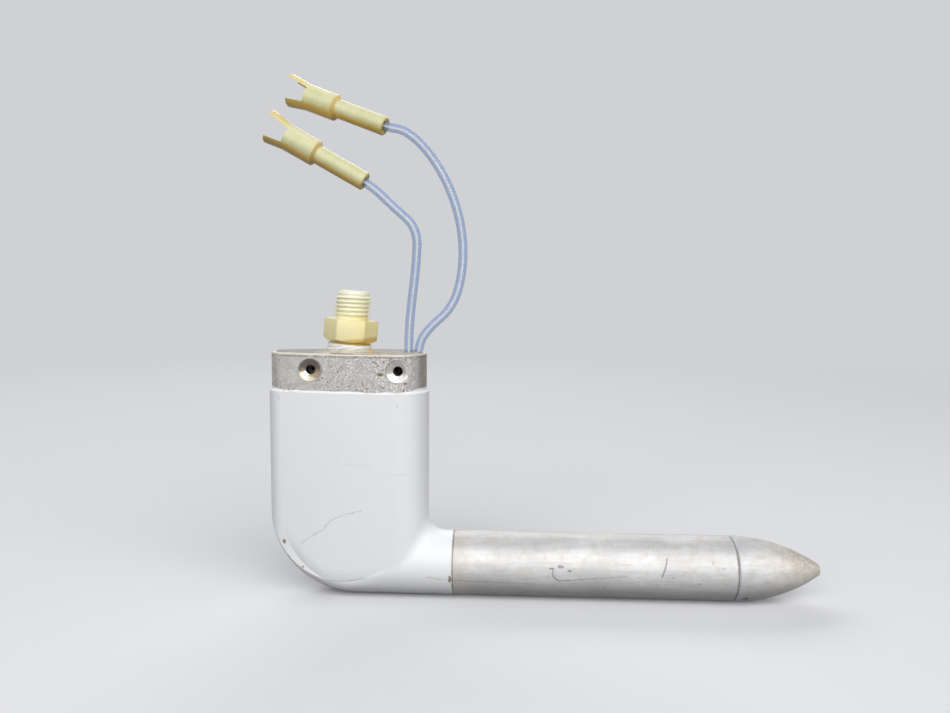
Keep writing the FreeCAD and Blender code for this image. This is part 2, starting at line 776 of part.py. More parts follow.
def terminal_frame(route):
    """Placement whose Z runs along the terminal towards its mouth, from the sleeve's back face."""
    ahead = route[-1].sub(route[-2]).normalize()
    back_face = route[-1].sub(ahead * lead_insertion)
    across = Y_AXIS.sub(ahead * Y_AXIS.dot(ahead)).normalize()
    rotation = FreeCAD.Rotation(across.cross(ahead), across, ahead, "ZXY")
    return FreeCAD.Placement(back_face, rotation)


def terminal(route):
    """Nylon sleeve of one terminal: narrow grip, wider bell, and two tongues past its mouth."""
    mouth = sleeve_length + bell_length
    tip = mouth + upper_tongue_length
    shell = revolved([
        (lead_entry_radius + 0.6, 0),
        (sleeve_radius - 0.3, 0),
        (sleeve_radius, 0.3),
        (sleeve_radius, sleeve_length - bell_step),
        (bell_radius, sleeve_length),
        (bell_radius + 0.05, mouth),
        (bell_radius + tongue_flare, tip),
        (bell_radius + tongue_flare - tongue_thickness, tip),
        (bell_bore_radius + 0.1, mouth),
        (bell_bore_radius, receptacle_start - 0.1),
        (sleeve_bore_radius, receptacle_start - 0.1),
        (sleeve_bore_radius, lead_insertion - 1.0),
        (lead_entry_radius, lead_insertion - 1.0),
        (lead_entry_radius, 0.6),
    ])
    reach = bell_radius + 2
    window = Part.Face(Part.makePolygon([
        V(-tongue_gap_base, 0, mouth),
        V(tongue_gap_base, 0, mouth),
        V(tongue_gap_tip, 0, tip + 1),
        V(-tongue_gap_tip, 0, tip + 1),
        V(-tongue_gap_base, 0, mouth),
    ])).extrude(Y_AXIS * 2 * reach)
    window.translate(Y_AXIS * -reach)
    short_side = box(V(-2 * reach, -reach, mouth + lower_tongue_length), V(0, reach, tip + 1))
    shell = shell.cut([window, short_side])
    shell.Placement = terminal_frame(route)
    return shell


def receptacle(route):
    """Metal receptacle in the sleeve: crimp barrel on the lead, and a box that takes a blade."""
    crimp = Part.makeCylinder(crimp_radius, crimp_length, V(0, 0, lead_insertion))
    neck_start = lead_insertion + crimp_length
    neck = box(V(-0.5, -1.5, neck_start - 1.0), V(0.5, 1.5, receptacle_start + 0.5))
    end = receptacle_start + receptacle_length
    body = box(V(-receptacle_half_height, -receptacle_half_width, receptacle_start),
               V(receptacle_half_height, receptacle_half_width, end))
    long_edges = [edge for edge in body.Edges if edge.BoundBox.ZLength > 1]
    body = body.makeFillet(receptacle_half_height * 0.8, long_edges)
    slot = box(V(-blade_slot_half_height, -blade_slot_half_width, receptacle_start + 1.0),
               V(blade_slot_half_height, blade_slot_half_width, end))
    gap = box(V(0, -0.5, receptacle_start + 1.0), V(receptacle_half_height + 1, 0.5, end))
    solid = crimp.multiFuse([neck, body]).cut([slot, gap])
    solid.Placement = terminal_frame(route)
    return solid


def build():
    """Every piece by name."""
    return {
        "mast": mast(),
        "probe_tube": probe_tube(),
        "nose": nose(),
        "nose_seal": nose_seal(),
        "front_baffle": front_baffle(),
        "rear_baffle": rear_baffle(),
        "pressure_pipe": pressure_pipe(),
        "heater_former": heater_former(),
        "heater_element": heater_element(),
        "heater_wrap": heater_wrap(),
        "rear_plug": rear_plug(),
        "tail_inner": cord("tail_inner", tail_route(-1, inner_exit), tail_radius),
        "tail_outer": cord("tail_outer", tail_route(1, outer_exit), tail_radius),
        "splice_inner": splice(inner_exit),
        "splice_outer": splice(outer_exit),
        "potting": potting(),
        "fitting": fitting(),
        "thread_seal": thread_seal(),
        "lead_inner": cord("lead_inner", inner_route, lead_radius),
        "lead_outer": cord("lead_outer", outer_route, lead_radius),
        "terminal_inner": terminal(inner_route),
        "terminal_outer": terminal(outer_route),
        "receptacle_inner": receptacle(inner_route),
        "receptacle_outer": receptacle(outer_route),
    }


os.makedirs("parts", exist_ok=True)
for name, shape in build().items():
    state = "valid" if shape.isValid() else "INVALID"
    print(name, len(shape.Solids), "solid", round(shape.Volume, 1), "mm3", state)
    shape.exportStep("parts/" + name + ".step")
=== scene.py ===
"""Finishes, thread, tape, leads and wear of a heated pitot tube, over its solid model.

Metres, in the solid model's frame: the origin is the centre of the collar's top face, +X runs
along the probe to its inlet, +Y is the side away from the near screws, and +Z is up.  Patterns
on the finishes are written in millimetres.
"""
import math

import bmesh
import bpy
from mathutils import Matrix, Vector


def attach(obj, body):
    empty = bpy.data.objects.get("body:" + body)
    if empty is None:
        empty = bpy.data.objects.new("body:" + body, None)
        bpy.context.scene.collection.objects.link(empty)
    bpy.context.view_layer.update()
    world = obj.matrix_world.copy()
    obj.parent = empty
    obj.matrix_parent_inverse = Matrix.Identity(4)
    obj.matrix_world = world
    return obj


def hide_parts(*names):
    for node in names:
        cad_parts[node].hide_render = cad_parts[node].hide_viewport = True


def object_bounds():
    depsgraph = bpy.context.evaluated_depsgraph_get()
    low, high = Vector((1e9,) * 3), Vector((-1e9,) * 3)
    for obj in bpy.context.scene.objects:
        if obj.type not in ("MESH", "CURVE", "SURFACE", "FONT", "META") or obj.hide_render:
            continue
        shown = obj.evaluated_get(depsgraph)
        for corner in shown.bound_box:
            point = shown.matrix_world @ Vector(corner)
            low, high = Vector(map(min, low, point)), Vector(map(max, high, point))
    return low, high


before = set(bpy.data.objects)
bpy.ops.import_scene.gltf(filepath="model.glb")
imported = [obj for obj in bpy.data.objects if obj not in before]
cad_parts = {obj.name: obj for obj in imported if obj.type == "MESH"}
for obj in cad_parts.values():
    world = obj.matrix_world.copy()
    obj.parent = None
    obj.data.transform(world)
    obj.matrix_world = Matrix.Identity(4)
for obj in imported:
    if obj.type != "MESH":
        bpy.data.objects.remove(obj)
solid_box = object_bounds()

MM = 0.001
Y_AXIS = Vector((0, 1, 0))
Z_AXIS = Vector((0, 0, 1))

# ---- The leads, in metres ----
lead_radius = 1.4 * MM
inner_exit = Vector((18.7, -1.2, 0)) * MM
outer_exit = Vector((21.2, 1.2, 0)) * MM
strand_count = 4
strand_ring = 0.22 * MM
strand_radius = 0.115 * MM
strand_lay = 5.2 * MM

# The leads' routes, measured from where each leaves the collar's top face.
inner_lead_points = [
    (0, 0, -0.005),
    (0, 0, 0.005),
    (0.0009, -0.0002, 0.015),
    (0.0024, -0.0006, 0.0265),
    (0.0029, -0.0008, 0.0379),
    (-0.0044, -0.0004, 0.0442),
    (-0.0114, 0, 0.0508),
    (-0.01624, 0.0002, 0.05352),
]
outer_lead_points = [
    (0, 0, -0.005),
    (0, 0, 0.0016),
    (0.0030, 0.0004, 0.0072),
    (0.0110, 0.0012, 0.0141),
    (0.0140, 0.0018, 0.0255),
    (0.0137, 0.0018, 0.0380),
    (0.0100, 0.0014, 0.0504),
    (0.0038, 0.0010, 0.0609),
    (-0.0035, 0.0007, 0.0677),
    (-0.0096, 0.0006, 0.06865),
    (-0.0132, 0.0014, 0.0701),
]

# ---- The fitting, in millimetres about its own upright axis ----
fitting_tilt = math.radians(5.0)
stub_bottom = -9.5
hex_base = 3.45
hex_top = 10.2
hex_flat = 7.2                                          # half the width across its flats
hex_corner = 8.25
hex_turn = math.radians(10)
fitting_top = 19.0
line_bore = 3.2
line_floor = fitting_top - 8.0
thread_pitch = 1.27
thread_crest = 5.5
thread_root = 4.8
thread_low = 10.85
thread_point = 2.0
thread_point_radius = 4.45
tape_turn = 0.85

# ---- Places on the mast and the probe, in millimetres along X and up Z ----
screw_places = ((-10.8, -5.1), (16.3, -5.1))
sink_radius = 3.42
tap_radius = 1.46
tap_pitch = 0.79
paint_top = -11.25
heel_centre = (2.55, -48.75)
crease_radius = 22.7
crack_points = ((-13.8, -59.0), (-10.3, -56.3), (-7.0, -54.2), (-4.4, -51.2), (-1.2, -49.5), (1.9, -48.4),
                (5.6, -47.6))
curl_points = ((63.6, -64.4), (63.5, -66.0), (64.2, -67.2), (65.6, -68.0), (69.0, -67.8))

# Small dents on the tube: each one's middle, and half its width and height.
tube_marks = (
    ((63.2, -64.3), 0.9, 0.3),
    ((66.0, -63.7), 1.1, 0.45),
    ((68.7, -64.8), 0.7, 0.4),
    ((89.3, -66.3), 0.4, 0.25),
    ((99.9, -66.2), 0.5, 0.3),
    ((114.8, -63.2), 0.6, 0.3),
    ((111.7, -61.7), 0.3, 0.5),
    ((108.1, -70.8), 0.6, 0.3),
    ((113.5, -71.0), 0.4, 0.25),
    ((79.5, -70.1), 0.8, 0.3),
    ((107.5, -68.0), 0.7, 0.35),
)


def seen(red, green, blue):
    """A colour given as it looks, each channel 0 to 255, in the linear values that shaders take."""
    levels = []
    for channel in (red, green, blue):
        share = channel / 255
        levels.append(share / 12.92 if share <= 0.04045 else ((share + 0.055) / 1.055) ** 2.4)
    return (*levels, 1.0)


backdrop = seen(208, 209, 212)
floor_pale = seen(236, 237, 240)
floor_pale_too = seen(233, 234, 237)
floor_bounce = seen(70, 70, 71)


class Reading:
    """A number that varies over a surface; arithmetic on it adds Math nodes."""

    def __init__(self, finish, output):
        self.finish = finish
        self.output = output

    def math(self, operation, *terms):
        return self.finish.node("ShaderNodeMath", {"operation": operation}, dict(enumerate(terms)))

    def __add__(self, other):
        return self.math("ADD", self, other)

    def __radd__(self, other):
        return self.math("ADD", other, self)

    def __sub__(self, other):
        return self.math("SUBTRACT", self, other)

    def __rsub__(self, other):
        return self.math("SUBTRACT", other, self)

    def __mul__(self, other):
        return self.math("MULTIPLY", self, other)

    def __rmul__(self, other):
        return self.math("MULTIPLY", other, self)

    def __truediv__(self, other):
        return self.math("DIVIDE", self, other)

    def __rtruediv__(self, other):
        return self.math("DIVIDE", other, self)

    def __neg__(self):
        return self.math("MULTIPLY", self, -1.0)

    def __abs__(self):
        return self.math("ABSOLUTE", self)

    def least(self, other):
        return self.math("MINIMUM", self, other)

    def most(self, other):
        return self.math("MAXIMUM", self, other)

    def root(self):
        return self.math("SQRT", self)

    def sine(self):
        return self.math("SINE", self)

    def above(self, edge, soft):
        """1 where the reading is over the edge, 0 under it, and a smooth step between."""
        steps = {"interpolation_type": "SMOOTHSTEP"}
        sockets = {"Value": self, "From Min": edge - soft, "From Max": edge + soft}
        return self.finish.node("ShaderNodeMapRange", steps, sockets)

    def below(self, edge, soft):
        return 1 - self.above(edge, soft)


def hypotenuse(across, up):
    """The length that two readings, taken square to each other, make together."""
    return (across * across + up * up).root()


class Wiring:
    """A node tree that is written as arithmetic on readings."""

    def __init__(self, tree):
        self.tree = tree

    def node(self, kind, settings, sockets, output=0):
        """Add a node: its settings first, then the values or links of its sockets."""
        node = self.tree.nodes.new(kind)
        for setting, value in settings.items():
            setattr(node, setting, value)
        for socket, value in sockets.items():
            if isinstance(value, Reading):
                self.tree.links.new(value.output, node.inputs[socket])
            else:
                node.inputs[socket].default_value = value
        return Reading(self, node.outputs[output])

    def vector(self, operation, *terms, output="Vector"):
        return self.node("ShaderNodeVectorMath", {"operation": operation}, dict(enumerate(terms)), output)

    def shows_backdrop(self):
        """1 for the rays that show the backdrop: the camera's, and those off or through the object."""
        rays = [self.node("ShaderNodeLightPath", {}, {}, kind)
                for kind in ("Is Camera Ray", "Is Glossy Ray", "Is Transmission Ray")]
        return (rays[0] + rays[1] + rays[2]).least(1.0)

    def blend(self, share, first, second):
        """A surface or background between two others."""
        return self.node("ShaderNodeMixShader", {}, {0: share, 1: first, 2: second})


class Finish(Wiring):
    """One procedural material: its surface shader and the patterns that feed it, in millimetres."""

    def __init__(self, name, constants=()):
        self.material = bpy.data.materials.new(name)
        self.material.use_nodes = True
        super().__init__(self.material.node_tree)
        self.shader = self.tree.nodes["Principled BSDF"]
        for socket, value in dict(constants).items():
            self.shader.inputs[socket].default_value = value
        here = self.node("ShaderNodeTexCoord", {}, {}, "Object")
        self.place = self.vector("MULTIPLY", here, (1000, 1000, 1000))
        self.x, self.y, self.z = (self.node("ShaderNodeSeparateXYZ", {}, {0: self.place}, axis)
                                  for axis in "XYZ")
        self.normal = None

    def noise(self, size, detail=2.0, roughness=0.5, stretch=(1, 1, 1), shift=0.0, distortion=0.0):
        """Cloudy pattern from 0 to 1 whose features are about size across."""
        scale = tuple(1 / (size * along) for along in stretch)
        place = self.vector("MULTIPLY_ADD", self.place, scale, (shift, shift * 1.7, shift * 0.6))
        sockets = {"Vector": place, "Scale": 1.0, "Detail": detail, "Roughness": roughness,
                   "Distortion": distortion}
        return self.node("ShaderNodeTexNoise", {"noise_dimensions": "3D"}, sockets, "Fac")

    def cells(self, size, shift):
        """Distance to the nearest of scattered points about size apart, in cell sizes."""
        place = self.vector("MULTIPLY_ADD", self.place, (1 / size,) * 3, (shift, shift * 1.3, shift * 0.4))
        sockets = {"Vector": place, "Scale": 1.0}
        return self.node("ShaderNodeTexVoronoi", {"feature": "F1"}, sockets, "Distance")

    def mix(self, share, first, second):
        """A colour between two others."""
        sockets = {"Factor": share, 6: first, 7: second}
        return self.node("ShaderNodeMix", {"data_type": "RGBA"}, sockets, 2)

    def coats(self, colour, *coats):
        """A colour under others laid over it in turn, each given as its share and its colour."""
        for share, coat in coats:
            colour = self.mix(share, colour, coat)
        return colour

    def relief(self, height, depth):
        """Add relief to the surface: height from 0 to 1 stands depth millimetres out."""
        sockets = {"Height": height, "Distance": depth * MM, "Strength": 1.0}
        if self.normal:
            sockets["Normal"] = self.normal
        self.normal = self.node("ShaderNodeBump", {}, sockets, "Normal")

    def stroke(self, points, width, wander=0.0, fade=0.35):
        """A thin mark through points given along and up the near side, and how far it wanders."""
        place = self.place
        if wander:
            sockets = {"Vector": place, "Scale": 0.9, "Detail": 3.0}
            sway = self.node("ShaderNodeTexNoise", {}, sockets, "Color")
            sway = self.vector("SUBTRACT", sway, (0.5, 0.5, 0.5))
            place = self.vector("MULTIPLY_ADD", sway, (2 * wander,) * 3, place)
        flat = self.vector("MULTIPLY", place, (1, 0, 1))
        nearest = None
        for first, last in zip(points, points[1:]):
            start = (first[0], 0, first[1])
            run = (last[0] - first[0], 0, last[1] - first[1])
            length = math.hypot(run[0], run[2])
            offset = self.vector("SUBTRACT", flat, start)
            share = self.vector("DOT_PRODUCT", offset, run, output="Value") / length ** 2
            share = share.most(0.0).least(1.0)
            closest = self.node("ShaderNodeVectorMath", {"operation": "SCALE"}, {0: run, "Scale": share})
            gap = self.vector("DISTANCE", offset, closest, output="Value")
            nearest = nearest.least(gap) if nearest else gap
        return nearest.below(width / 2, width * fade) * self.y.below(0.0, 0.5)

    def patch(self, centre, wide, tall, ragged=0.3, size=0.6):
        """A ragged spot on the near side about a point given along and up."""
        across = (self.x - centre[0]) / wide
        up = (self.z - centre[1]) / tall
        edge = (self.noise(size, 3.0, shift=centre[0]) - 0.5) * 2 * ragged
        return (hypotenuse(across, up) + edge).below(1.0, 0.18) * self.y.below(0.0, 0.5)

    def feed(self, **sockets):
        """Link the patterns to the shader, and the relief if there is any; returns the material."""
        for name, value in sockets.items():
            socket = self.shader.inputs[name.replace("_", " ").title()]
            if isinstance(value, Reading):
                self.tree.links.new(value.output, socket)
            else:
                socket.default_value = value
        if self.normal:
            self.tree.links.new(self.normal.output, self.shader.inputs["Normal"])
        return self.material


def bare_casting(finish):
    """Colour, roughness and relief of the collar's bare aluminium: smooth behind, pitted in front, with
    painted glints and painted shade at its front end.
    """
    cloud = finish.noise(9.0, 4.0, 0.6, shift=3.0)
    smear = finish.noise(1.4, 3.0, 0.6, (4.0, 1, 1), shift=7.0)
    grain = finish.noise(1.1, 4.0, 0.7, shift=8.0, distortion=1.2)
    fine = finish.noise(0.45, 3.0, 0.7, shift=21.0)
    coarse = 0.35 + 0.65 * (finish.x + (cloud - 0.5) * 12).above(-6.0, 7.0)
    pits = finish.cells(1.3, shift=5.0).below(0.2, 0.07) * finish.noise(3.0, 2.0, shift=4.0).above(0.5, 0.06)
    specks = finish.cells(0.8, shift=11.0).below(0.14, 0.05) * coarse
    # Painted glints: near-white specks in the colour that stand for light caught by the grain.
    painted_glints = fine.above(0.6, 0.05) * coarse
    # Painted shade: a darker brown band where the collar's front end rounds away from the light.
    shaded_front_end = (finish.x + (grain - 0.5) * 1.6).above(22.4, 0.7)
    colour = finish.coats(
        finish.mix(grain.above(0.5, 0.2), seen(152, 149, 146), seen(188, 186, 184)),
        (smear.above(0.5, 0.2) * (1 - coarse) * 0.8, seen(200, 196, 188)),
        ((cloud - 0.35) * 0.5, seen(180, 175, 166)),
        (painted_glints * 0.8, seen(240, 239, 238)),
        ((pits + specks * 0.6).least(1.0) * 0.7, seen(98, 86, 78)),
        (shaded_front_end * 0.55, seen(126, 112, 94)),
        (finish.patch((11.2, -6.0), 0.85, 0.5, 0.25), seen(112, 106, 52)),
        (finish.patch((18.6, -8.7), 0.5, 0.35, 0.6) * 0.9, seen(120, 82, 58)),
    )
    height = grain * 0.6 + fine * 0.4 + (1 - pits) * 0.7 + (1 - specks) * 0.3
    return colour, 0.52 + (fine - 0.5) * 0.2, height * (0.4 + coarse * 0.6)


def screw_holes(finish):
    """Colour of the turned countersinks, with painted light and shade in them, and where they and the tapped
    holes below them are.
    """
    rear, front = (hypotenuse(finish.x - along, finish.z - up) for along, up in screw_places)
    gap = rear.least(front)
    sink = gap.below(sink_radius, 0.08)
    tapped = gap.below(tap_radius, 0.03)
    rings = (gap * 14.0).sine() * 0.5 + 0.5

    # Brown grease stains the rear one, with painted shade on the upper part of its cone and painted light on
    # its lowest edge; painted light brightens the lower cone of the front one.
    stain = finish.noise(0.9, 3.0, 0.6, shift=2.0)
    shaded_upper_cone = (finish.z + (stain - 0.5) * 2.0).above(-5.2, 0.9)
    lit_lower_rim = (finish.z + finish.x * 0.3 + (stain - 0.5) * 1.6).below(-10.3, 0.35)
    grease_shade_and_light = finish.mix(shaded_upper_cone, seen(190, 170, 142), seen(92, 84, 74))
    grease_shade_and_light = finish.mix(lit_lower_rim, grease_shade_and_light, seen(238, 228, 206))
    lit_lower_cone = finish.z.below(-6.2, 0.7) * (0.6 + 0.4 * stain.above(0.45, 0.1))
    colour = finish.coats(
        finish.mix(rings * 0.35, seen(186, 182, 176), seen(214, 212, 208)),
        (rear.below(3.5, 0.05) * (0.72 + stain * 0.25), grease_shade_and_light),
        (lit_lower_cone * rear.above(4.0, 0.1), seen(248, 247, 246)),
        # Painted highlight: a white spot low in the rear countersink.
        (finish.patch((-11.9, -6.1), 1.0, 0.75, 0.3), seen(250, 246, 246)),
        # Painted shade: the tapped bores are coloured near black.
        (tapped, seen(40, 36, 33)),
    )
    return colour, sink, tapped


def strut_paint(finish, dirt):
    """Colour of the white paint with its small marks, and where the long crack crosses it."""
    cloud = finish.noise(14.0, 3.0, 0.5, shift=1.0)
    crack = finish.stroke(crack_points, 0.3, 0.55, 0.6)
    faint = finish.stroke([(-3.4, -30.0), (-1.1, -33.3), (2.6, -33.5), (8.8, -33.6)], 0.25, 0.5, 0.6)
    faint = faint.most(finish.stroke([(13.5, -36.4), (19.3, -36.3)], 0.25, 0.3, 0.6))
    tick = finish.stroke([(-20.9, -13.0), (-20.4, -14.3)], 0.22, 0.15, 0.6)
    dots = [(finish.patch(spot, 0.17, 0.17, 0.15) * 0.6, seen(116, 112, 112))
            for spot in ((-0.7, -66.7), (-5.3, -68.3), (16.4, -15.4))]
    paint = finish.coats(
        finish.mix(cloud * 0.5, seen(236, 237, 239), seen(230, 231, 233)),
        (dirt.above(0.68, 0.08) * 0.15, seen(216, 215, 212)),
        (crack * (0.25 + dirt * 0.5), seen(172, 173, 184)),
        (faint * 0.22, seen(186, 187, 192)),
        *dots,
        (tick * 0.5, seen(128, 128, 134)),
    )
    return paint, crack


def heel_wear(finish, paint):
    """The paint scuffed round the heel, and relief that rounds the heel's crease, in millimetres."""
    out_x = finish.x - heel_centre[0]
    out_z = finish.z - heel_centre[1]
    heel = hypotenuse(out_x, out_z)
    heel_band = heel.above(26.2, 0.6) * out_x.below(-4.0, 3.0) * out_z.below(-6.0, 3.0)
    scuff = heel_band * finish.noise(0.9, 4.0, 0.7, shift=9.0).above(0.52, 0.06)
    paint = finish.coats(
        paint,
        (scuff * 0.7, seen(158, 150, 138)),
        (finish.patch((-13.4, -66.4), 0.5, 0.35, 0.9, 0.4) * 0.7, seen(140, 124, 104)),
    )
    from_crease = heel + (finish.x + 6.0).most(0.0) * 0.2 - crease_radius
    before = (from_crease + 3.7).most(0.0).least(3.7)
    beyond = from_crease.most(0.0).least(3.9)
    share = out_x.above(-7.0, 6.0) * 0.7 + 0.3
    fall = before * before * 0.035 + (beyond * 0.055 - 0.42) * beyond * share
    return paint, -fall * out_x.below(5.0, 9.0) * out_z.below(-10.0, 6.0)


def paint_chips(finish):
    """Where the paint is gone: a chip on the heel, one under the socket, and along the socket's lip."""
    heel_chip = finish.patch((-19.5, -58.8), 0.5, 0.75, 0.9, 0.4)
    tear = finish.stroke([(25.0, -67.9), (28.0, -68.2), (30.2, -68.6), (31.4, -68.2)], 0.2, 0.7, 0.5)
    socket_chip = (tear * 0.7).most(finish.patch((32.4, -68.5), 0.6, 1.0, 1.1, 0.5))
    socket_lip = finish.x.above(32.75, 0.06) * finish.noise(2.6, 3.0, shift=7.0).above(0.4, 0.12)
    return heel_chip.most(socket_chip).most(socket_lip * 0.7)


def mast_finish():
    """White paint on the strut, lapped raggedly on the shoulder, over the bare casting."""
    finish = Finish("mast_paint_and_casting", {"Specular IOR Level": 0.5, "Coat Roughness": 0.25})
    casting, casting_roughness, casting_height = bare_casting(finish)
    turned, sink, tapped = screw_holes(finish)
    metal_roughness = casting_roughness + sink * (0.36 - casting_roughness)
    thread = (finish.y * (2 * math.pi / tap_pitch)).sine() * tapped

    # A pale band along the rim, and a broken darker line just below it.
    rim = finish.z.above(-0.55, 0.12)
    under_rim = finish.z.above(-1.15, 0.12) * (1 - rim) * finish.noise(2.5, 3.0, shift=19.0).above(0.45, 0.1)
    metal = finish.coats(
        casting,
        (sink, turned),
        (rim * 0.75, seen(206, 200, 188)),
        (under_rim * 0.5, seen(118, 108, 100)),
    )
    dirt = finish.noise(2.2, 4.0, 0.6, shift=6.0)
    paint, crack = strut_paint(finish, dirt)
    paint, rounding = heel_wear(finish, paint)

    # The paint's ragged top edge, higher at both ends of the collar.
    dip = abs(finish.x - 9.0).below(4.0, 3.0)
    lap = 0.65 * finish.x.below(-20.5, 2.6) + 0.75 * finish.x.above(21.2, 2.0) - 0.25 * dip
    edge = finish.z - lap + (finish.noise(4.0, 2.0, shift=12.0) - 0.5) * 0.7 + (dirt - 0.5) * 0.35
    painted = edge.below(paint_top, 0.05)
    thin_edge = painted * edge.above(paint_top - 0.45, 0.2)
    paint = finish.mix(thin_edge * dirt.above(0.56, 0.05) * 0.5, paint, seen(206, 192, 164))
    covered = painted * (1 - paint_chips(finish))
    under = finish.mix(painted, metal, seen(146, 140, 130))
    finish.relief(rounding, 1.0)
    finish.relief(casting_height * (1 - painted) * (1 - sink), 0.2)
    finish.relief(thread, 0.12)
    finish.relief(finish.noise(1.5, 2.0, shift=17.0) * covered, 0.01)
    finish.relief(covered - crack * 0.2, 0.07)
    return finish.feed(
        base_color=finish.mix(covered, under, paint),
        metallic=(1 - covered) * 0.7,
        roughness=metal_roughness + covered * (0.42 + dirt * 0.1 - metal_roughness),
        coat_weight=covered * 0.12,
    )


def heat_tint(finish, colour, blotch, grit):
    """The nose's colour: warm and speckled toward the tip, with painted glints among the specks, and bluish
    by the seam.
    """
    heat = finish.x.above(134.0, 9.0) * (0.4 + 0.6 * finish.z.above(-66.0, 6.0))
    return finish.coats(
        colour,
        (heat * 0.4, seen(204, 196, 180)),
        (heat * blotch.above(0.46, 0.1) * 0.45, seen(176, 160, 134)),
        (heat * grit.below(0.46, 0.06) * 0.4, seen(150, 138, 120)),
        # Painted glints: pale specks among the warm ones.
        (heat * grit.above(0.58, 0.04) * 0.5, seen(236, 230, 216)),
        (finish.x.below(121.6, 0.7) * 0.2, seen(186, 196, 216)),
    )


def handling_marks(finish, colour, blotch, grit):
    """The tube's colour, dull and dark by the mast, with its scratches and dents, and its scratches."""
    long_scratch = finish.stroke([(33.6, -68.7), (46.0, -69.1), (58.0, -69.3)], 0.2, 0.12, 0.7)
    curl = finish.stroke(curl_points, 0.38, 0.4, 0.5)
    drag = finish.stroke([curl_points[-1], (76.0, -67.0), (86.0, -66.2)], 0.24, 0.1, 0.6)
    slash = finish.stroke([(98.1, -60.9), (97.5, -63.3), (96.4, -66.0)], 0.42, 0.2, 0.5)
    broken = 0.3 + 0.7 * grit.above(0.47, 0.08)
    scored = (long_scratch * 0.6).most(curl * 0.8).most(drag * broken * 0.75).most(slash * 0.9)
    marks = None
    for spot, wide, tall in tube_marks:
        mark = finish.patch(spot, wide, tall, 0.6)
        marks = marks.most(mark) if marks else mark
    near_curl = 0.35 + 0.4 * finish.x.below(72.0, 1.0)
    colour = finish.coats(
        colour,
        (finish.x.below(37.0, 3.5) * (0.25 + blotch * 0.3), seen(190, 184, 168)),
        (finish.x.below(33.35, 0.12) * 0.7, seen(112, 104, 92)),
        (scored, seen(124, 118, 132)),
        (marks * near_curl, seen(128, 120, 134)),
    )
    return colour, scored


def probe_metal(name, nose=False):
    """Satin probe metal: fine turning marks, streaks, cloudy stains, painted shade darkening its lower side,
    and the nose's or tube's own wear.
    """
    finish = Finish(name, {"Specular IOR Level": 0.5})
    cloud = finish.noise(7.0, 4.0, 0.6, (2.0, 1, 1), shift=2.0)
    streak = finish.noise(0.9, 3.0, 0.6, (12.0, 1, 1), shift=4.0)
    turning = finish.noise(0.12, 2.0, 0.6, (1, 40.0, 40.0), shift=6.0)
    blotch = finish.noise(2.4, 4.0, 0.65, shift=8.0)
    grit = finish.noise(0.5, 3.0, 0.6, shift=14.0)
    # Painted shade: the colour darkens toward the bottom of the tube and nose.
    under = (finish.z + (blotch - 0.5) * 1.2).below(-69.7, 3.6)
    colour = finish.coats(
        finish.mix(cloud.above(0.5, 0.3), seen(188, 187, 186), seen(216, 215, 214)),
        (streak.above(0.56, 0.12) * 0.32, seen(172, 170, 170)),
        (blotch.above(0.56, 0.12) * 0.32, seen(176, 169, 158)),
        (grit.above(0.64, 0.08) * 0.25, seen(160, 156, 154)),
        (under * 0.6, seen(104, 102, 101)),
    )
    finish.relief(turning, 0.006)
    finish.relief(blotch * 0.5 + grit * 0.5, 0.012)
    if nose:
        colour = heat_tint(finish, colour, blotch, grit)
    else:
        colour, scored = handling_marks(finish, colour, blotch, grit)
        finish.relief(1 - scored, 0.03)
    roughness = 0.53 + (cloud - 0.5) * 0.12 + (streak - 0.5) * 0.06
    return finish.feed(base_color=colour, metallic=0.45, roughness=roughness)


def seam_compound():
    """Brown compound squeezed into the joint behind the nose."""
    finish = Finish("seam_compound", {"Specular IOR Level": 0.3})
    lumps = finish.noise(0.7, 3.0, 0.6)
    colour = finish.mix(lumps.above(0.5, 0.25), seen(116, 98, 84), seen(160, 146, 130))
    finish.relief(lumps, 0.05)
    return finish.feed(base_color=colour, roughness=0.75)


def cream_sealant():
    """Cured sealing compound: cream by the fitting and greyer out to the rim, dirty in its hollows."""
    finish = Finish("cream_sealant", {"Specular IOR Level": 0.4, "Subsurface Weight": 0.15,
                                      "Subsurface Radius": (1.0, 0.7, 0.4), "Subsurface Scale": 1.0 * MM})
    lumps = finish.noise(2.2, 4.0, 0.55, shift=3.0)
    dirt = finish.noise(1.0, 4.0, 0.65, shift=5.0)
    colour = finish.coats(
        finish.mix(lumps.above(0.5, 0.2), seen(160, 156, 148), seen(184, 180, 171)),
        (hypotenuse(finish.x, finish.y).below(9.0, 3.0) * 0.7, seen(222, 216, 198)),
        (dirt.above(0.56, 0.1) * 0.45, seen(136, 130, 120)),
        (finish.x.below(-8.0, 6.0) * 0.45, seen(136, 132, 124)),
        (finish.patch((8.0, 1.1), 1.5, 0.9, 0.5) * 0.75, seen(212, 180, 96)),
    )
    finish.relief(lumps, 0.35)
    finish.relief(dirt, 0.08)
    return finish.feed(base_color=colour, roughness=0.55 + dirt * 0.2)


